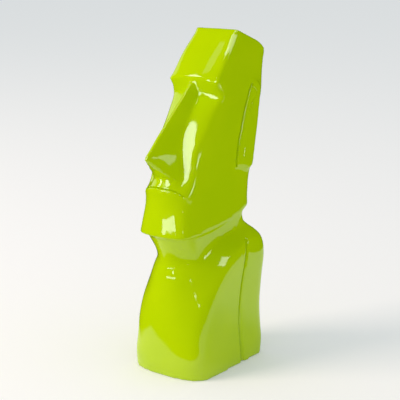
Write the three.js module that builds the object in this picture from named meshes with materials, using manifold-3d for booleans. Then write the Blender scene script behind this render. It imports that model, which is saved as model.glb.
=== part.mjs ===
// A glossy moai ornament: a long stone-head figure with a bust, cast in one piece and lacquered.
//
// Millimetres, +Z up. The figure faces -Y and X = 0 is its plane of symmetry. While it is shaped, Y is
// measured from the foot of the chest towards the back. The finished group stands on Z = 0 with the middle
// of its outer box on the Z axis.

import * as THREE from "three";
import { mergeVertices } from "three/addons/utils/BufferGeometryUtils.js";
import Module from "manifold-3d";

const wasm = await Module();
wasm.setup();

// Finish
const LACQUER = { color: 0xa6cf00, roughness: 0.12, metalness: 0 };

// Driving sizes
const CHIN_LEVEL = 254;
const TOP = { front: 158, frontLevel: 600.5, back: 262, backLevel: 562 };
const CROWN_BACK = { front: 212, back: 248, turn: 242, level: 535 };
const NOSE_TIP = { front: -39, level: 392 };
const NOSE_WING = { front: 19, level: 346 };
const RIDGE_HALF_WIDTH = 2.5;
const MOUTH = { level: 338, arch: 12, halfWidth: 41, height: 1.6, depth: 3 };
const EAR = { face: 42, lean: -0.025, flare: 0.131, root: 10, grooveWidth: 4, grooveFloor: 47.5 };
const ARM_GROOVE = { width: 7, floor: 71 };

// How finely curved runs are faceted
const CROWN_STEPS = 8;
const CORNER_STEPS = 7;
const SIDE_STEPS = 6;
const BACK_CORNER_STEPS = 5;
const BACK_STEPS = 4;
const RING_SPACING = 10;
const GROOVE_STEPS = 14;
const CROWN_POWER = 2.2;

// Farther out than any point of the figure
const CLEAR = 120;

// Level sections. front is the middle of the front, sweep how far the front falls back before its corner,
// half the half width, corner the run of the front corner, back the back, backCorner its corner, taper how
// much narrower the back is than the front, and arch how much lower the section lies at its sides.
const FIELDS = ["level", "front", "sweep", "half", "corner", "back", "backCorner", "taper", "arch"];
const sections = (rows) => rows.map((row) => Object.fromEntries(FIELDS.map((field, i) => [field, row[i]])));

// The body, from the foot to where the shoulders close round the neck
const BODY = sections([
  [0, -1, 4, 80.5, 37, 213, 27, 6, 0],
  [26, -4, 4, 80, 36, 217, 27, 5, 0],
  [62, -3, 5, 78, 36, 214, 27, 4, 0],
  [99, -2, 8, 76.5, 32, 213, 27, 4, 0],
  [134, 1, 18, 76.5, 25, 217, 27, 4, 0],
  [160, 4, 33, 77, 19, 220, 27, 4, 0],
  [183, 8, 49, 78, 15, 221, 26, 3, 0],
  [200, 15, 62, 78, 12, 220, 24, 3, 0],
  [218, 26, 80, 75, 10, 218, 22, 3, 0],
  [231, 36, 96, 68.5, 10, 212, 19, 2, 0],
  [243, 44, 90, 54.5, 10, 200, 16, 1, 0],
  [256, 84, 46, 42, 10, 186, 14, 0, 0],
]);

// The neck, which flares into the chest
const NECK = sections([
  [150, 40, 24, 70, 26, 190, 24, 0, 0],
  [178, 20, 18, 60, 26, 190, 24, 0, 0],
  [196, 14.5, 11, 50, 26, 189, 23, 0, 0],
  [212, 11.5, 8, 47, 26, 188, 22, 0, 0],
  [230, 6, 7, 46.5, 25, 188, 22, 0, 0],
  [248, -2, 6, 48, 23, 188, 20, 0, 0],
  [272, 2, 6, 48, 22, 184, 20, 0, 0],
  [290, 10, 6, 47, 20, 184, 20, 0, 0],
]);

// The head without its nose: straight runs up the chin and the forehead, a curved run up the cheeks
const MOUTH_CORNERS = [337, -10, 8, 49, 21, 196.5, 16, -2, 12];
const EYE_FOLD = [492, 91, 10, 57.5, 10, 234, 14, 6, 4];
const CHIN = sections([
  [236, -10, 5, 54, 21, 196.5, 16, 4, 0],
  [256, -12, 5, 54, 21, 196.5, 16, 4, 0],
  [272, -9.5, 5, 52.5, 21, 196.5, 16, 3, 0],
  [288, -7, 5, 50.5, 21, 196.5, 16, 1, 1],
  [306, -5.5, 6, 49, 21, 196.5, 16, -1, 3],
  [324, -7, 7, 48.5, 21, 196.5, 16, -2, 8],
  MOUTH_CORNERS,
]);
const CHEEKS = sections([
  MOUTH_CORNERS,
  [349, 12, 7, 49, 14, 199.5, 16, -2, 8],
  [361, 26, 2, 49, 11, 202.5, 16, -2, 4],
  [383, 30, 1, 50, 10, 208, 16, -2, 2],
  [407, 31, 7, 50, 10, 215, 16, -1, 1],
  [425, 38, 15, 51, 10, 219, 16, 0, 0],
  [446, 52, 16, 52, 10, 224, 16, 1, 0],
  [468, 70, 14, 54, 9, 229, 15, 3, 1],
  EYE_FOLD,
]);
const FOREHEAD = sections([
  EYE_FOLD,
  [521, 86, 3, 55.5, 7, 236, 14, 5, 7],
  [561, 119, 3, 53, 6, 244, 14, 4, 2],
  [606, 160, 2, 45, 5, 254, 14, 3, 0],
]);

// The upper lip, a bow in plan that stands out of the cheeks under the nose
const LIP = sections([
  [332, -8, 8, 49, 21, 90, 20, 0, 12],
  [342, -7, 10, 46, 19, 90, 20, 0, 12],
  [350, -2, 12, 42, 17, 90, 20, 0, 9],
  [358, 9, 14, 37, 15, 90, 20, 0, 6],
]);

// The nose: the front of its ridge, and the place where its side meets the cheek
const NOSE = [
  { level: 336, ridge: NOSE_TIP.front, crease: 16, half: 32 },
  { level: 352, ridge: NOSE_TIP.front, crease: 22, half: 31 },
  { level: 366, ridge: NOSE_TIP.front, crease: 31, half: 29 },
  { level: 380, ridge: NOSE_TIP.front, crease: 35, half: 26 },
  { level: 396, ridge: NOSE_TIP.front, crease: 36, half: 23 },
  { level: 412, ridge: -22, crease: 37, half: 20 },
  { level: 427, ridge: -7, crease: 43, half: 17.5 },
  { level: 457, ridge: 24.5, crease: 61, half: 15 },
  { level: 490, ridge: 61, crease: 93, half: 13 },
  { level: 513, ridge: 84, crease: 112, half: 11 },
];
const NOSE_ROOT_DEPTH = 20;

// Corners of the ear's outline, and the run of the arm's groove, as [y, z]
const EAR_OUTLINE = [
  [145, 370],
  [148, 363],
  [184, 351],
  [193, 357],
  [208, 437],
  [216, 494],
  [208, 506],
  [191, 509],
  [183, 499],
];
const EAR_FRONT = [
  [187, 506],
  [145, 364],
];
const ARM_GROOVE_RUN = [
  [156, 228],
  [141, 158],
  [134, 88],
  [138, 16],
  [147, -8],
];

// Points of a run from t = 0 up to, but not at, t = 1
function run(count, pointAt) {
  return Array.from({ length: count }, (_, i) => pointAt(i / count));
}

// The front of a section at a distance x from the middle, as far as its corner
function frontAt(section, x) {
  const edge = section.half - section.corner;
  return section.front + section.sweep * Math.pow(Math.abs(x) / edge, CROWN_POWER);
}

// Half of a section in plan, from the middle of the front round the side to the middle of the back
function halfOutline(section) {
  const { sweep, half, corner, back, backCorner } = section;
  const edge = half - corner;
  const slope = (CROWN_POWER * sweep) / edge;
  const edgeFront = frontAt(section, edge);
  const turnFront = edgeFront + slope * corner;
  const sideFront = turnFront + corner / (1 + slope);
  const backHalf = half - section.taper;
  const backTurnFront = back - backCorner;
  const frontTurn = new THREE.QuadraticBezierCurve(
    new THREE.Vector2(edge, edgeFront),
    new THREE.Vector2(half, turnFront),
    new THREE.Vector2(half, sideFront),
  );
  const side = new THREE.LineCurve(
    new THREE.Vector2(half, sideFront),
    new THREE.Vector2(backHalf, backTurnFront),
  );
  const backTurn = new THREE.QuadraticBezierCurve(
    new THREE.Vector2(backHalf, backTurnFront),
    new THREE.Vector2(backHalf, back),
    new THREE.Vector2(backHalf - backCorner, back),
  );
  return [
    ...run(CROWN_STEPS, (t) => new THREE.Vector2(t * edge, frontAt(section, t * edge))),
    ...run(CORNER_STEPS, (t) => frontTurn.getPoint(t)),
    ...run(SIDE_STEPS, (t) => side.getPoint(t)),
    ...run(BACK_CORNER_STEPS, (t) => backTurn.getPoint(t)),
    ...run(BACK_STEPS, (t) => new THREE.Vector2((1 - t) * (backHalf - backCorner), back)),
    new THREE.Vector2(0, back),
  ];
}

// The whole section as a ring of points, counter-clockwise from above
function ring(section) {
  const half = halfOutline(section);
  const mirrored = half
    .slice(1, -1)
    .reverse()
    .map((p) => new THREE.Vector2(-p.x, p.y));
  return [...half, ...mirrored].map((p) => {
    const drop = section.arch * Math.pow(p.x / section.half, 2);
    return new THREE.Vector3(p.x, p.y, section.level - drop);
  });
}

// Sections at an even spacing, on smooth curves through the given ones
function smoothed(given) {
  const fields = FIELDS.slice(1);
  const levels = given.map((section) => section.level);
  const values = given.flatMap((section) => fields.map((field) => section[field]));
  const curve = new THREE.CubicInterpolant(levels, values, fields.length, new Array(fields.length));
  const low = levels[0];
  const height = levels[levels.length - 1] - low;
  const steps = Math.round(height / RING_SPACING);
  return Array.from({ length: steps + 1 }, (_, i) => {
    const level = low + (height * i) / steps;
    const found = curve.evaluate(level);
    return { level, ...Object.fromEntries(fields.map((field, k) => [field, found[k]])) };
  });
}

// A closed body through a stack of rings with the same number of points, from the lowest up
function loft(rings) {
  const count = rings[0].length;
  const points = rings.flat();
  const triangles = [];
  for (let r = 0; r < rings.length - 1; r++) {
    for (let i = 0; i < count; i++) {
      const a = r * count + i;
      const b = r * count + ((i + 1) % count);
      triangles.push(a, b, b + count, a, b + count, a + count);
    }
  }
  const capped = (first, turn) => {
    const rim = points.slice(first, first + count);
    points.push(rim.reduce((sum, p) => sum.add(p), new THREE.Vector3()).divideScalar(count));
    const centre = points.length - 1;
    for (let i = 0; i < count; i++) {
      const edge = [first + i, first + ((i + 1) % count)];
      triangles.push(...(turn ? edge.reverse() : edge), centre);
    }
  };
  capped(0, true);
  capped((rings.length - 1) * count, false);
  const geometry = new THREE.BufferGeometry().setFromPoints(points);
  geometry.setIndex(triangles);
  return solid(geometry);
}

// A closed geometry as a solid that can be joined and cut
function solid(geometry) {
  geometry.deleteAttribute("normal");
  geometry.deleteAttribute("uv");
  const merged = mergeVertices(geometry, 1e-4);
  return new wasm.Manifold(
    new wasm.Mesh({
      numProp: 3,
      vertProperties: new Float32Array(merged.attributes.position.array),
      triVerts: new Uint32Array(merged.index.array),
    }),
  );
}

// A body with the given Y-Z outline from x = low to x = high. Its X grows by lean for each unit of Z and by
// flare for each unit of Y.
function sidePrism(shape, low, high, lean = 0, flare = 0) {
  const settings = { depth: high - low, bevelEnabled: false, curveSegments: 10 };
  const geometry = new THREE.ExtrudeGeometry(shape, settings);
  const [y, z, x] = [new THREE.Vector3(0, 1, 0), new THREE.Vector3(0, 0, 1), new THREE.Vector3(1, 0, 0)];
  geometry.applyMatrix4(new THREE.Matrix4().makeBasis(y, z, x));
  geometry.translate(low, 0, 0);
  geometry.applyMatrix4(new THREE.Matrix4().makeShear(0, 0, flare, 0, lean, 0));
  return solid(geometry);
}

const shapeOf = (corners) => new THREE.Shape(corners.map(([y, z]) => new THREE.Vector2(y, z)));

// The outline of a band of the given width along a smooth run of [y, z] points
function band(points, width) {
  const curve = new THREE.SplineCurve(points.map(([y, z]) => new THREE.Vector2(y, z)));
  const edge = (side) =>
    Array.from({ length: GROOVE_STEPS + 1 }, (_, i) => {
      const t = i / GROOVE_STEPS;
      const along = curve.getTangent(t);
      const across = new THREE.Vector2(-along.y, along.x).multiplyScalar((side * width) / 2);
      return curve.getPoint(t).add(across);
    });
  return new THREE.Shape([...edge(1), ...edge(-1).reverse()]);
}

const mirrored = (body) => body.mirror([1, 0, 0]);

function body() {
  const groove = sidePrism(band(ARM_GROOVE_RUN, ARM_GROOVE.width), ARM_GROOVE.floor, CLEAR);
  return loft(smoothed(BODY).map(ring)).subtract(groove).subtract(mirrored(groove));
}

// The head's block, cut to the jaw line below and to the sloping crown above
function headBlock() {
  const cheeks = smoothed(CHEEKS).slice(1);
  const block = loft([...CHIN, ...cheeks, ...FOREHEAD.slice(1)].map(ring));
  const slope = (TOP.frontLevel - TOP.backLevel) / (TOP.back - TOP.front);
  const topLevel = (y) => TOP.frontLevel - slope * (y - TOP.front);
  const profile = new THREE.Shape();
  profile.moveTo(-CLEAR, CHIN_LEVEL);
  profile.lineTo(40, CHIN_LEVEL);
  profile.bezierCurveTo(90, CHIN_LEVEL + 1, 120, 262, 165, 272);
  profile.quadraticCurveTo(190, 277, 200, 292);
  profile.lineTo(TOP.back + CLEAR, 292);
  profile.lineTo(TOP.back + CLEAR, CROWN_BACK.level);
  profile.lineTo(CROWN_BACK.turn, CROWN_BACK.level);
  profile.quadraticCurveTo(CROWN_BACK.back, topLevel(CROWN_BACK.back), CROWN_BACK.front, topLevel(CROWN_BACK.front));
  profile.lineTo(-CLEAR, topLevel(-CLEAR));
  return block.intersect(sidePrism(profile, -CLEAR, CLEAR));
}

// The wedge of the nose, cut flat underneath from the tip to the wings
function nose() {
  const rings = NOSE.map(({ level, ridge, crease, half }) => {
    const spread = ((half - RIDGE_HALF_WIDTH) / (crease - ridge)) * NOSE_ROOT_DEPTH;
    const right = [
      [RIDGE_HALF_WIDTH, ridge],
      [half, crease],
      [half + spread, crease + NOSE_ROOT_DEPTH],
    ];
    const left = right.map(([x, y]) => [-x, y]).reverse();
    return [...right, ...left].map(([x, y]) => new THREE.Vector3(x, y, level));
  });
  const fall = (NOSE_TIP.level - NOSE_WING.level) / (NOSE_WING.front - NOSE_TIP.front);
  const under = shapeOf([
    [-CLEAR, NOSE_TIP.level + fall * (CLEAR + NOSE_TIP.front)],
    [-CLEAR, 0],
    [CLEAR, 0],
    [CLEAR, NOSE_TIP.level - fall * (CLEAR - NOSE_TIP.front)],
  ]);
  return loft(rings).subtract(sidePrism(under, -CLEAR, CLEAR));
}

// The line of the mouth: a shallow groove along the top of the chin that droops to its corners
function mouthLine() {
  const chinTop = CHIN[CHIN.length - 1];
  const steps = 2 * GROOVE_STEPS;
  const rings = Array.from({ length: steps + 1 }, (_, i) => {
    const x = MOUTH.halfWidth * ((2 * i) / steps - 1);
    const level = MOUTH.level - MOUTH.arch * Math.pow(x / chinTop.half, 2);
    const floor = frontAt(chinTop, x) + MOUTH.depth;
    return [
      new THREE.Vector3(x, floor, level),
      new THREE.Vector3(x, floor - 3 * MOUTH.depth, level + 3 * MOUTH.height),
      new THREE.Vector3(x, floor - 3 * MOUTH.depth, level - 3 * MOUTH.height),
    ];
  });
  return loft(rings);
}

// The ear, a long slab leaning with the head, and the groove in front of it
const ear = () => sidePrism(shapeOf(EAR_OUTLINE), EAR.root, EAR.face, EAR.lean, EAR.flare);
const earGroove = () => sidePrism(band(EAR_FRONT, EAR.grooveWidth), EAR.grooveFloor, CLEAR);

function head() {
  const grooves = earGroove().add(mirrored(earGroove()));
  const ears = ear().add(mirrored(ear()));
  const lip = loft(LIP.map(ring));
  return headBlock().add(ears).subtract(grooves).add(lip).subtract(mouthLine()).add(nose());
}

function statue() {
  const neck = loft(smoothed(NECK).map(ring));
  return body().add(neck).add(head());
}

// The solid as a named mesh
function piece(name, body, finish) {
  const { vertProperties, triVerts } = body.getMesh();
  const geometry = new THREE.BufferGeometry();
  geometry.setAttribute("position", new THREE.BufferAttribute(vertProperties, 3));
  geometry.setIndex(new THREE.BufferAttribute(triVerts, 1));
  geometry.computeVertexNormals();
  const mesh = new THREE.Mesh(geometry, new THREE.MeshStandardMaterial(finish));
  mesh.name = name;
  return mesh;
}

const group = new THREE.Group();
group.add(piece("moai_statue", statue(), LACQUER));
const box = new THREE.Box3().setFromObject(group);
const middle = box.getCenter(new THREE.Vector3());
group.position.set(-middle.x, -middle.y, -box.min.z);
export default group;
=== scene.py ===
"""Looks of a glossy lime green moai ornament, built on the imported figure.

Metres, +Z up. The figure faces -Y and its left ear is on +X. The casting is one piece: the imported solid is
remeshed finely, its edges are softened as thick lacquer softens them, the faces get the slow waves of a
hand-finished glaze, and the mouth, the ears and the arms get their grooves.
"""

import logging
import math
from collections.abc import Sequence
from dataclasses import dataclass, field
from enum import Enum

import bmesh
import bpy
from mathutils import Euler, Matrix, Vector, noise
from mathutils.kdtree import KDTree

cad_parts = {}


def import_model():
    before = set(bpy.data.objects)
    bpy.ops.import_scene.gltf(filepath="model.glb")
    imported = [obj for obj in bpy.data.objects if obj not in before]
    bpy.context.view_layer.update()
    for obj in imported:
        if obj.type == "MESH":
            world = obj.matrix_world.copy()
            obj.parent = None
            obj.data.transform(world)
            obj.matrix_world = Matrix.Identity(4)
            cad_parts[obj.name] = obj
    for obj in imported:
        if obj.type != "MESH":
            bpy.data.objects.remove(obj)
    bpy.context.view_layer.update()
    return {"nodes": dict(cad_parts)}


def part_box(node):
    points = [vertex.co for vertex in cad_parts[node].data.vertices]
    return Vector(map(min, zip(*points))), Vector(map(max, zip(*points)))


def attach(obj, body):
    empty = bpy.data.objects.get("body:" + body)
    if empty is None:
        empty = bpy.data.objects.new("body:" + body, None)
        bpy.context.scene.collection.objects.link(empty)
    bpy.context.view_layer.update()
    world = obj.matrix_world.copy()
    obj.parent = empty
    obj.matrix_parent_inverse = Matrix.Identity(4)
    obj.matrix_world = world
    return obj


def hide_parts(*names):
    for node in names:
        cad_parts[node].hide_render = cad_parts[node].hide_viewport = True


log = logging.getLogger("moai")

NODE = "moai_statue"
MILLIMETRE = 0.001
# The foot of the chest lies this far behind the tip of the nose
NOSE_REACH = 0.039

Pair = tuple[float, float]
Triple = tuple[float, float, float]
Colour = tuple[float, float, float]


class Role(Enum):
    """What a lamp is for: bright patches in the lacquer, or light on the paint alone."""

    GLINT = "glint"
    FILL = "fill"


class Crease(Enum):
    """How an edge of the solid turns."""

    OUTWARD = "outward"
    INWARD = "inward"


class Plane(Enum):
    """The view in which a groove is drawn."""

    SIDE = "side"
    FRONT = "front"


def smooth_step(value: float) -> float:
    """Ease a value from 0 to 1, flat at both ends."""
    share = min(max(value, 0.0), 1.0)
    return share * share * (3.0 - 2.0 * share)


def foot_of_chest() -> float:
    """Return how far along Y the foot of the chest lies."""
    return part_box(NODE)[0].y + NOSE_REACH


def direction(azimuth: float, elevation: float) -> Vector:
    """Point out from the figure.

    Args:
        azimuth: Degrees from the figure's front towards its left side.
        elevation: Degrees above the horizon.

    Returns:
        A unit vector.
    """
    turn, rise = math.radians(azimuth), math.radians(elevation)
    return Vector((math.sin(turn) * math.cos(rise), -math.cos(turn) * math.cos(rise), math.sin(rise)))


@dataclass(frozen=True)
class Lacquer:
    """A thick, clear-topped lime green lacquer over a smooth casting."""

    name: str = "lime_lacquer"
    slot: str = "lacquer"
    colour: Colour = (0.455, 0.640, 0.0)
    deep_colour: Colour = (0.430, 0.622, 0.0)
    cloud_scale: float = 14.0
    cloud_detail: float = 3.0
    cloud_span: Pair = (0.35, 0.68)
    roughness: Pair = (0.035, 0.075)
    ripple_scale: float = 60.0
    ripple_detail: float = 1.5
    ripple_depth: float = 0.00006
    speck_scale: float = 900.0
    speck_detail: float = 1.0
    speck_depth: float = 0.000004
    ior: float = 1.5

    def material(self) -> bpy.types.Material:
        """Build the node material.

        Returns:
            A Principled material whose colour, roughness and normal vary over the piece.
        """
        material = bpy.data.materials.new(self.name)
        material.use_nodes = True
        tree = material.node_tree
        shader = tree.nodes["Principled BSDF"]
        place = tree.nodes.new("ShaderNodeTexCoord")

        cloud = self._noise(tree, place, self.cloud_scale, self.cloud_detail)
        colour = tree.nodes.new("ShaderNodeValToRGB")
        stops = zip(colour.color_ramp.elements, self.cloud_span, (self.deep_colour, self.colour))
        for stop, position, tint in stops:
            stop.position = position
            stop.color = (*tint, 1.0)
        tree.links.new(cloud.outputs["Fac"], colour.inputs["Fac"])
        tree.links.new(colour.outputs["Color"], shader.inputs["Base Color"])

        wear = tree.nodes.new("ShaderNodeMapRange")
        wear.inputs["To Min"].default_value = self.roughness[0]
        wear.inputs["To Max"].default_value = self.roughness[1]
        tree.links.new(cloud.outputs["Fac"], wear.inputs["Value"])
        tree.links.new(wear.outputs["Result"], shader.inputs["Roughness"])

        ripple = self._noise(tree, place, self.ripple_scale, self.ripple_detail)
        speck = self._noise(tree, place, self.speck_scale, self.speck_detail)
        low = self._bump(tree, ripple, self.ripple_depth)
        fine = self._bump(tree, speck, self.speck_depth)
        tree.links.new(low.outputs["Normal"], fine.inputs["Normal"])
        tree.links.new(fine.outputs["Normal"], shader.inputs["Normal"])

        shader.inputs["IOR"].default_value = self.ior
        return material

    def _noise(
        self, tree: bpy.types.NodeTree, place: bpy.types.Node, scale: float, detail: float
    ) -> bpy.types.Node:
        """Add a noise pattern that is fixed to the piece.

        Args:
            tree: The material's nodes.
            place: The texture coordinate node.
            scale: Waves in a metre.
            detail: How many finer layers it has.

        Returns:
            The noise node.
        """
        pattern = tree.nodes.new("ShaderNodeTexNoise")
        pattern.inputs["Scale"].default_value = scale
        pattern.inputs["Detail"].default_value = detail
        tree.links.new(place.outputs["Object"], pattern.inputs["Vector"])
        return pattern

    def _bump(self, tree: bpy.types.NodeTree, pattern: bpy.types.Node, depth: float) -> bpy.types.Node:
        """Turn a noise pattern into a surface normal.

        Args:
            tree: The material's nodes.
            pattern: The noise node.
            depth: Height of the relief, in metres.

        Returns:
            The bump node.
        """
        bump = tree.nodes.new("ShaderNodeBump")
        bump.inputs["Strength"].default_value = 1.0
        bump.inputs["Distance"].default_value = depth
        tree.links.new(pattern.outputs["Fac"], bump.inputs["Height"])
        return bump


@dataclass(frozen=True)
class SoftZone:
    """A part of the casting where edges that turn one way melt into the faces.

    The corners are (distance from the plane of symmetry, distance behind the foot of the chest, level).
    """

    name: str
    turn: Crease
    low: Triple
    high: Triple

    def holds(self, turn: Crease, place: Triple) -> bool:
        """Say whether an edge melts away here.

        Args:
            turn: How the edge turns.
            place: Its middle, in the same terms as the corners.

        Returns:
            True if it does.
        """
        inside = all(low < value < high for low, value, high in zip(self.low, place, self.high))
        return inside and turn is self.turn


@dataclass(frozen=True)
class Groove:
    """A fine groove with raised lips, drawn in millimetres as (across, level).

    Across is X in the front view. In the side view it is the distance behind the foot of the chest. The lips
    reach out to the width times the spread. The mesh along the groove is cut finer as often as cuts says.
    """

    name: str
    plane: Plane
    points: tuple[Pair, ...]
    width: float
    depth: float
    lip: float = 0.0
    spread: float = 1.5
    step: float = 1.0
    cuts: int = 2

    def run(self) -> list[Vector]:
        """Sample a smooth curve through the points.

        Returns:
            Points (across, level, 0) in millimetres, about one step apart.
        """
        ends = [self.points[0], *self.points, self.points[-1]]
        found: list[Vector] = []
        for before, start, end, after in zip(ends, ends[1:], ends[2:], ends[3:]):
            count = max(1, math.ceil(math.dist(start, end) / self.step))
            found.extend(self._between(before, start, end, after, i / count) for i in range(count))
        found.append(Vector((*self.points[-1], 0.0)))
        return found

    @staticmethod
    def _between(before: Pair, start: Pair, end: Pair, after: Pair, share: float) -> Vector:
        """Find a point of a smooth curve between two of its points.

        Args:
            before: The point before the start.
            start: Where the piece of the curve starts.
            end: Where it ends.
            after: The point after the end.
            share: How far along the piece, from 0 to 1.

        Returns:
            The point (across, level, 0).
        """
        values = []
        for a, b, c, d in zip(before, start, end, after):
            bend = 2.0 * a - 5.0 * b + 4.0 * c - d
            twist = 3.0 * (b - c) + d - a
            values.append(0.5 * (2.0 * b + (c - a) * share + bend * share**2 + twist * share**3))
        return Vector((*values, 0.0))

    def reach(self) -> float:
        """Return how far from its line the groove changes the surface, in millimetres."""
        return self.spread * self.width

    def sink(self, distance: float) -> float:
        """Work out how deep the surface lies at a distance from the line.

        Args:
            distance: Millimetres from the line.

        Returns:
            Millimetres below the surface, negative where the lip stands above it.
        """
        half = 0.5 * self.width
        if distance < half:
            return self.depth * (1.0 - smooth_step(distance / half)) - self.lip * smooth_step(distance / half)
        return -self.lip * (1.0 - smooth_step((distance - half) / (self.reach() - half)))


# Grooves drawn from the side only touch what lies further out than this, in metres
EAR_FACE_FROM = 0.034
# Grooves drawn from the front only touch what lies less far behind the foot of the chest, in millimetres
FACE_BEFORE = 40.0

MOUTH_LINE = Groove(
    name="mouth_line",
    plane=Plane.FRONT,
    points=(
        (-42.0, 327.5),
        (-34.0, 333.5),
        (-20.0, 338.5),
        (0.0, 340.5),
        (20.0, 338.5),
        (34.0, 333.5),
        (42.0, 327.5),
    ),
    width=3.4,
    depth=3.2,
    lip=0.8,
)
EAR_FRONT = Groove(
    name="ear_front",
    plane=Plane.SIDE,
    points=(
        (191.0, 502.0),
        (185.0, 492.0),
        (177.0, 473.0),
        (170.0, 450.0),
        (163.0, 424.0),
        (156.0, 401.0),
        (150.0, 376.0),
        (150.0, 361.0),
    ),
    width=5.4,
    depth=6.0,
    lip=0.4,
)
ARM_LINE = Groove(
    name="arm_line",
    plane=Plane.SIDE,
    points=((156.0, 226.0), (150.0, 211.0), (139.0, 159.0), (130.0, 88.0), (135.0, 14.0), (137.0, 2.0)),
    width=8.0,
    depth=5.5,
    lip=0.4,
    cuts=1,
)
EAR_CURL = Groove(
    name="ear_curl",
    plane=Plane.SIDE,
    points=((191.0, 498.0), (199.0, 493.0), (203.0, 487.0), (200.0, 479.0), (194.0, 474.0), (189.0, 470.0)),
    width=3.0,
    depth=0.7,
    lip=0.3,
)
EAR_NICK = Groove(
    name="ear_nick",
    plane=Plane.SIDE,
    points=((184.0, 456.0), (189.0, 468.0)),
    width=4.0,
    depth=0.8,
    lip=0.5,
)
LOBE_NICK = Groove(
    name="lobe_nick",
    plane=Plane.SIDE,
    points=((167.0, 375.0), (170.0, 391.0)),
    width=3.0,
    depth=0.5,
    lip=0.3,
)


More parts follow.
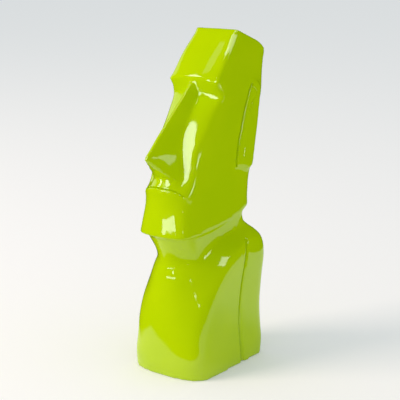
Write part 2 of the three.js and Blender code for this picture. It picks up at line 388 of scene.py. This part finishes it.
@dataclass
class Casting:
    """The figure itself, one lacquered casting."""

    name: str = "moai_casting"
    voxel: float = 0.0028
    edge_passes: int = 3
    open_passes: int = 30
    crease_angle: float = math.radians(24.0)
    crease_reach: float = 0.0125
    sample: float = 0.003
    weld: float = 0.00001
    soft_zones: Sequence[SoftZone] = (
        SoftZone("foot_of_the_neck", Crease.INWARD, (0.0, -0.05, 0.150), (0.072, 0.30, 0.236)),
        SoftZone("edge_of_the_cheek", Crease.OUTWARD, (0.036, -0.05, 0.335), (0.070, 0.085, 0.484)),
    )
    smoothing: float = 0.5
    wave_length: float = 0.045
    wave_height: float = 0.00022
    fine_cuts: int = 2
    fine_margin: float = 1.5
    grooves: Sequence[Groove] = (MOUTH_LINE, EAR_FRONT, EAR_CURL, EAR_NICK, LOBE_NICK, ARM_LINE)
    finish: Lacquer = field(default_factory=Lacquer)

    def build(self, solid: bpy.types.Object) -> bpy.types.Object:
        """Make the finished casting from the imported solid.

        Args:
            solid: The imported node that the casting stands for.

        Returns:
            The casting, riding on the root body.
        """
        piece = self._remeshed(solid)
        creases = self._creases(solid)
        shape = bmesh.new()
        shape.from_mesh(piece.data)
        self._soften(shape, creases)
        self._wave(shape)
        self._carve(shape)
        for face in shape.faces:
            face.smooth = True
        shape.to_mesh(piece.data)
        shape.free()
        piece.data.materials.clear()
        piece.data.materials.append(self.finish.material())
        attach(piece, "root")
        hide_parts(solid.name)
        return piece

    def _merged_copy(self, solid: bpy.types.Object) -> bpy.types.Mesh:
        """Copy the solid's mesh and merge its loose triangles.

        Args:
            solid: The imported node.

        Returns:
            A new closed mesh.
        """
        mesh = solid.data.copy()
        shape = bmesh.new()
        shape.from_mesh(mesh)
        bmesh.ops.remove_doubles(shape, verts=shape.verts, dist=self.weld)
        shape.to_mesh(mesh)
        shape.free()
        return mesh

    def _remeshed(self, solid: bpy.types.Object) -> bpy.types.Object:
        """Give the form an even mesh, fine enough to be softened and carved.

        Args:
            solid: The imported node.

        Returns:
            A new object with the even mesh.
        """
        rough = bpy.data.objects.new(self.name, self._merged_copy(solid))
        bpy.context.scene.collection.objects.link(rough)
        remesh = rough.modifiers.new("even_mesh", "REMESH")
        remesh.mode = "VOXEL"
        remesh.voxel_size = self.voxel
        graph = bpy.context.evaluated_depsgraph_get()
        even = bpy.data.meshes.new_from_object(rough.evaluated_get(graph))
        rough.modifiers.clear()
        rough.data = even
        rough.data.name = self.name
        return rough

    def _creases(self, solid: bpy.types.Object) -> KDTree:
        """Find the solid's sharp edges.

        Args:
            solid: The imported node.

        Returns:
            A tree of points along the edges that stay crisp.
        """
        mesh = self._merged_copy(solid)
        shape = bmesh.new()
        shape.from_mesh(mesh)
        foot = foot_of_chest()
        points: list[Vector] = []
        for edge in shape.edges:
            angle = edge.calc_face_angle_signed(0.0)
            if len(edge.link_faces) != 2 or abs(angle) < self.crease_angle:
                continue
            turn = Crease.OUTWARD if angle > 0.0 else Crease.INWARD
            start, end = (corner.co for corner in edge.verts)
            middle = 0.5 * (start + end)
            place = (abs(middle.x), middle.y - foot, middle.z)
            if any(zone.holds(turn, place) for zone in self.soft_zones):
                continue
            steps = max(1, math.ceil((end - start).length / self.sample))
            points.extend(start.lerp(end, i / steps) for i in range(steps + 1))
        shape.free()
        bpy.data.meshes.remove(mesh)
        tree = KDTree(len(points))
        for index, point in enumerate(points):
            tree.insert(point, index)
        tree.balance()
        return tree

    def _soften(self, shape: bmesh.types.BMesh, creases: KDTree) -> None:
        """Round the edges a little and smooth the open faces well.

        Args:
            shape: The casting's mesh.
            creases: Points along the edges that stay crisp.
        """
        passes: dict[bmesh.types.BMVert, int] = {}
        for vert in shape.verts:
            distance = creases.find(vert.co)[2]
            share = smooth_step(distance / self.crease_reach)
            passes[vert] = round(self.edge_passes + share * (self.open_passes - self.edge_passes))
        for turn in range(self.open_passes):
            chosen = [vert for vert in shape.verts if passes[vert] > turn]
            bmesh.ops.smooth_vert(
                shape, verts=chosen, factor=self.smoothing, use_axis_x=True, use_axis_y=True, use_axis_z=True
            )

    def _wave(self, shape: bmesh.types.BMesh) -> None:
        """Give the faces the slow waves of a hand-finished glaze.

        Args:
            shape: The casting's mesh.
        """
        shape.normal_update()
        for vert in shape.verts:
            rise = self.wave_height * noise.noise(vert.co / self.wave_length)
            fade = smooth_step(vert.co.z / self.wave_length)
            vert.co += vert.normal * (rise * fade)

    def _carve(self, shape: bmesh.types.BMesh) -> None:
        """Refine the mesh along the grooves and press the grooves into it.

        Args:
            shape: The casting's mesh.
        """
        lines = [(groove, self._line(groove)) for groove in self.grooves]
        foot = foot_of_chest()
        for turn in range(self.fine_cuts):
            fine = [(groove, tree) for groove, tree in lines if groove.cuts > turn]
            near = {vert for vert in shape.verts if self._beside(fine, foot, vert)}
            edges = [edge for edge in shape.edges if edge.verts[0] in near and edge.verts[1] in near]
            bmesh.ops.subdivide_edges(shape, edges=edges, cuts=1, use_grid_fill=True)
        for groove, tree in lines:
            for vert in shape.verts:
                distance = self._off(groove, tree, foot, vert)
                if distance >= groove.reach():
                    continue
                sink = groove.sink(distance) * MILLIMETRE
                if groove.plane is Plane.SIDE:
                    vert.co.x -= sink * math.copysign(1.0, vert.co.x)
                else:
                    vert.co.y += sink

    def _beside(self, lines: Sequence[tuple[Groove, KDTree]], foot: float, vert: bmesh.types.BMVert) -> bool:
        """Say whether a vertex lies on a groove or within the fine margin beside it.

        Args:
            lines: Grooves, each with the tree of its line.
            foot: Y of the foot of the chest.
            vert: The vertex.

        Returns:
            True if it does.
        """
        margin = self.fine_margin
        return any(self._off(groove, tree, foot, vert) < groove.reach() + margin for groove, tree in lines)

    def _line(self, groove: Groove) -> KDTree:
        """Make a tree of the points along a groove.

        Args:
            groove: The groove.

        Returns:
            The tree, in millimetres, in the groove's own view.
        """
        line = groove.run()
        tree = KDTree(len(line))
        for index, point in enumerate(line):
            tree.insert(point, index)
        tree.balance()
        return tree

    def _off(self, groove: Groove, tree: KDTree, foot: float, vert: bmesh.types.BMVert) -> float:
        """Measure how far a vertex lies from a groove's line, in the groove's own view.

        Args:
            groove: The groove.
            tree: Points along its line.
            foot: Y of the foot of the chest.
            vert: The vertex.

        Returns:
            Millimetres, or infinity where the groove doesn't reach.
        """
        behind = (vert.co.y - foot) / MILLIMETRE
        if groove.plane is Plane.SIDE:
            if abs(vert.co.x) < EAR_FACE_FROM:
                return math.inf
            place = Vector((behind, vert.co.z / MILLIMETRE, 0.0))
        else:
            if behind > FACE_BEFORE:
                return math.inf
            place = Vector((vert.co.x / MILLIMETRE, vert.co.z / MILLIMETRE, 0.0))
        return tree.find(place)[2]


@dataclass(frozen=True)
class Lamp:
    """A rectangular studio lamp that faces a spot on the figure.

    The spot is (x, distance behind the foot of the chest, level). The lamp hangs at a distance from it, in the
    direction of the azimuth and the elevation. It is turned in its own plane by turn degrees.
    """

    name: str
    role: Role
    spot: Triple
    azimuth: float
    elevation: float
    distance: float
    width: float
    height: float
    brightness: float
    turn: float = 0.0
    colour: Colour = (1.0, 1.0, 1.0)

    def build(self) -> bpy.types.Object:
        """Make the lamp.

        Returns:
            The lamp object.
        """
        lamp = bpy.data.lights.new(self.name, "AREA")
        lamp.shape = "RECTANGLE"
        lamp.size = self.width
        lamp.size_y = self.height
        lamp.energy = self.brightness * math.pi * self.width * self.height
        lamp.color = self.colour
        box = bpy.data.objects.new(self.name, lamp)
        bpy.context.scene.collection.objects.link(box)
        outward = direction(self.azimuth, self.elevation)
        x, behind, level = self.spot
        box.location = Vector((x, foot_of_chest() + behind, level)) + outward * self.distance
        facing = (-outward).to_track_quat("-Z", "Y").to_matrix()
        spin = Euler((0.0, 0.0, math.radians(self.turn))).to_matrix()
        box.rotation_euler = (facing @ spin).to_euler()
        box.visible_camera = False
        box.visible_glossy = self.role is Role.GLINT
        box.visible_diffuse = self.role is Role.FILL
        return box


@dataclass(frozen=True)
class Paper:
    """The matt white paper of the studio floor. In the lacquer's reflections it is painted dark beyond the lit part
    of the set, with a painted shadow of the figure beside it.
    """

    name: str = "studio_paper"
    colour: Colour = (0.82, 0.82, 0.825)
    # Painted shade: the colour the lacquer's reflections see on the paper outside the lit part of the set
    painted_shade_colour: Colour = (0.004, 0.004, 0.004)
    glow: float = 0.16
    roughness: float = 0.9
    # Where the painted shade in reflections fades in: towards the front, towards the left and away from the figure
    lit_front: Pair = (-0.285, -0.255)
    lit_left: Pair = (-0.31, -0.27)
    lit_radius: Pair = (1.14, 1.04)
    # Painted shadow of the figure on the paper, seen only in reflections: near this spot the reflected paper drops
    # to this share of its colour
    shade_spot: Triple = (0.20, 0.11, 0.0)
    shade_radius: Pair = (0.08, 0.24)
    shade: float = 0.45

    def material(self) -> bpy.types.Material:
        """Build the node material.

        Returns:
            A matt white material that reflections see white only near the figure; beyond that, and in a painted
            shadow of the figure, they see painted shade.
        """
        material = bpy.data.materials.new(self.name)
        material.use_nodes = True
        tree = material.node_tree
        shader = tree.nodes["Principled BSDF"]
        place = tree.nodes.new("ShaderNodeTexCoord")
        parts = tree.nodes.new("ShaderNodeSeparateXYZ")
        tree.links.new(place.outputs["Object"], parts.inputs["Vector"])
        length = tree.nodes.new("ShaderNodeVectorMath")
        length.operation = "LENGTH"
        tree.links.new(place.outputs["Object"], length.inputs[0])
        # Painted shade in reflections: glossy rays see the paper dark beyond the lit part of the set
        front = self._fade(tree, parts.outputs["Y"], self.lit_front)
        left = self._fade(tree, parts.outputs["X"], self.lit_left)
        round_set = self._fade(tree, length.outputs["Value"], self.lit_radius)
        # Painted shadow of the figure on the paper, for glossy rays only
        shaded = tree.nodes.new("ShaderNodeVectorMath")
        shaded.operation = "DISTANCE"
        shaded.inputs[1].default_value = self.shade_spot
        tree.links.new(place.outputs["Object"], shaded.inputs[0])
        figure_shade = self._fade(tree, shaded.outputs["Value"], self.shade_radius, low=self.shade)
        corner = self._product(tree, front, left)
        lit = self._product(tree, self._product(tree, corner, round_set), figure_shade)
        # Glossy rays get the painted shade colour wherever the paper counts as unlit; camera rays always see it
        # white
        rays = tree.nodes.new("ShaderNodeLightPath")
        unlit = tree.nodes.new("ShaderNodeMath")
        unlit.operation = "SUBTRACT"
        unlit.inputs[0].default_value = 1.0
        tree.links.new(lit, unlit.inputs[1])
        painted_shade_share = self._product(tree, rays.outputs["Is Glossy Ray"], unlit.outputs["Value"])
        colour = tree.nodes.new("ShaderNodeMix")
        colour.data_type = "RGBA"
        colour.inputs[6].default_value = (*self.colour, 1.0)
        colour.inputs[7].default_value = (*self.painted_shade_colour, 1.0)
        tree.links.new(painted_shade_share, colour.inputs["Factor"])
        tree.links.new(colour.outputs[2], shader.inputs["Base Color"])
        tree.links.new(colour.outputs[2], shader.inputs["Emission Color"])
        shader.inputs["Emission Strength"].default_value = self.glow
        shader.inputs["Roughness"].default_value = self.roughness
        shader.inputs["Specular IOR Level"].default_value = 0.0
        return material

    def _fade(
        self, tree: bpy.types.NodeTree, value: bpy.types.NodeSocket, span: Pair, low: float = 0.0
    ) -> bpy.types.NodeSocket:
        """Rise smoothly to 1 as a value goes from one end of a span to the other.

        Args:
            tree: The material's nodes.
            value: The socket that gives the value.
            span: The values where the rise starts and ends.
            low: Where the rise starts from.

        Returns:
            The socket with the result.
        """
        fade = tree.nodes.new("ShaderNodeMapRange")
        fade.interpolation_type = "SMOOTHSTEP"
        fade.inputs["From Min"].default_value = min(span)
        fade.inputs["From Max"].default_value = max(span)
        rising = span[0] < span[1]
        fade.inputs["To Min"].default_value = low if rising else 1.0
        fade.inputs["To Max"].default_value = 1.0 if rising else low
        tree.links.new(value, fade.inputs["Value"])
        return fade.outputs["Result"]

    def _product(
        self, tree: bpy.types.NodeTree, first: bpy.types.NodeSocket, second: bpy.types.NodeSocket
    ) -> bpy.types.NodeSocket:
        """Multiply two values.

        Args:
            tree: The material's nodes.
            first: One socket.
            second: The other socket.

        Returns:
            The socket with the product.
        """
        product = tree.nodes.new("ShaderNodeMath")
        product.operation = "MULTIPLY"
        tree.links.new(first, product.inputs[0])
        tree.links.new(second, product.inputs[1])
        return product.outputs["Value"]


@dataclass
class Studio:
    """The pale floor, the soft lamps and the camera."""

    floor_half: float = 20.0
    floor_cells: int = 4
    sky: Colour = (0.95, 1.0, 1.01)
    sky_strength: float = 0.72
    camera_side: float = 1.2330
    camera_back: float = 1.46814
    camera_level: float = 0.7607
    camera_turn: Triple = (77.0, 0.0, 38.0)
    lens: float = 103.5
    sensor: float = 36.0
    paper: Paper = field(default_factory=Paper)
    lamps: Sequence[Lamp] = (
        Lamp("front_fill", Role.FILL, (0.0, 0.1, 0.3), -36.0, 33.0, 5.0, 2.3, 2.3, 7.4, colour=(1.22, 1.0, 0.85)),
        Lamp("brow_lamp", Role.GLINT, (0.017, 0.091, 0.526), -52.0, 41.0, 2.6, 0.55, 0.75, 9.0),
        Lamp("curtain", Role.GLINT, (0.028, 0.111, 0.549), -58.0, 57.0, 0.25, 0.035, 0.09, 0.9, turn=44.0),
        Lamp("cheek_window", Role.GLINT, (0.034, 0.039, 0.412), -2.0, 26.0, 0.41, 0.19, 0.55, 9.5, turn=-18.0),
        Lamp("chin_window", Role.GLINT, (0.022, -0.006, 0.276), -9.0, 3.0, 0.79, 0.56, 0.045, 7.5, turn=9.0),
        Lamp("corner_lamp", Role.GLINT, (0.046, 0.137, 0.574), 84.0, 58.0, 0.25, 0.07, 0.36, 4.5, turn=46.0),
        Lamp("nose_lamp", Role.GLINT, (0.014, 0.005, 0.394), 108.0, 0.5, 0.50, 0.06, 0.06, 2.6, turn=-40.0),
        Lamp("shoulder_lamp", Role.GLINT, (0.071, 0.092, 0.202), 102.0, 34.0, 0.28, 0.06, 0.11, 5.5, turn=136.0),
        Lamp("chest_lamp", Role.GLINT, (0.054, 0.027, 0.148), 52.0, 16.5, 0.65, 0.05, 0.022, 6.0),
        Lamp("top_lamp", Role.GLINT, (0.030, 0.08, 0.490), -4.0, 75.0, 2.6, 0.55, 0.64, 6.0),
        Lamp("left_wall", Role.GLINT, (0.0, 0.05, 0.42), -100.0, 18.0, 2.6, 1.4, 1.6, 0.8),
    )

    def build(self) -> None:
        """Set up the floor, the sky, the lamps and the camera."""
        self._floor()
        self._sky()
        for lamp in self.lamps:
            lamp.build()
            log.info("lamp %s hung", lamp.name)
        self._camera()

    def _floor(self) -> None:
        """Lay the floor under the figure."""
        mesh = bpy.data.meshes.new("studio_floor")
        shape = bmesh.new()
        bmesh.ops.create_grid(shape, x_segments=self.floor_cells, y_segments=self.floor_cells, size=self.floor_half)
        shape.to_mesh(mesh)
        shape.free()
        mesh.materials.append(self.paper.material())
        floor = bpy.data.objects.new("studio_floor", mesh)
        bpy.context.scene.collection.objects.link(floor)

    def _sky(self) -> None:
        """Fill the room with an even, soft light that the lacquer doesn't mirror."""
        world = bpy.data.worlds.new("studio_sky")
        world.use_nodes = True
        background = world.node_tree.nodes["Background"]
        background.inputs["Color"].default_value = (*self.sky, 1.0)
        background.inputs["Strength"].default_value = self.sky_strength
        world.cycles_visibility.glossy = False
        bpy.context.scene.world = world

    def _camera(self) -> None:
        """Stand the camera where the photograph was taken from."""
        camera = bpy.data.cameras.new("studio_camera")
        camera.lens = self.lens
        camera.sensor_width = self.sensor
        stand = bpy.data.objects.new("studio_camera", camera)
        stand.location = (self.camera_side, foot_of_chest() - self.camera_back, self.camera_level)
        stand.rotation_euler = Euler([math.radians(angle) for angle in self.camera_turn])
        bpy.context.scene.collection.objects.link(stand)
        bpy.context.scene.camera = stand
        bpy.context.scene.view_settings.view_transform = "Standard"


def main() -> None:
    """Build the figure and its studio in order, and log the figure's triangle count."""
    logging.basicConfig(level=logging.INFO, format="%(name)s: %(message)s")
    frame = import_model()

    casting = Casting().build(frame["nodes"][NODE])
    triangles = sum(len(face.vertices) - 2 for face in casting.data.polygons)
    log.info("%s: %d triangles", casting.name, triangles)
    Studio().build()
    log.info("studio built")


if __name__ == "__main__":
    main()
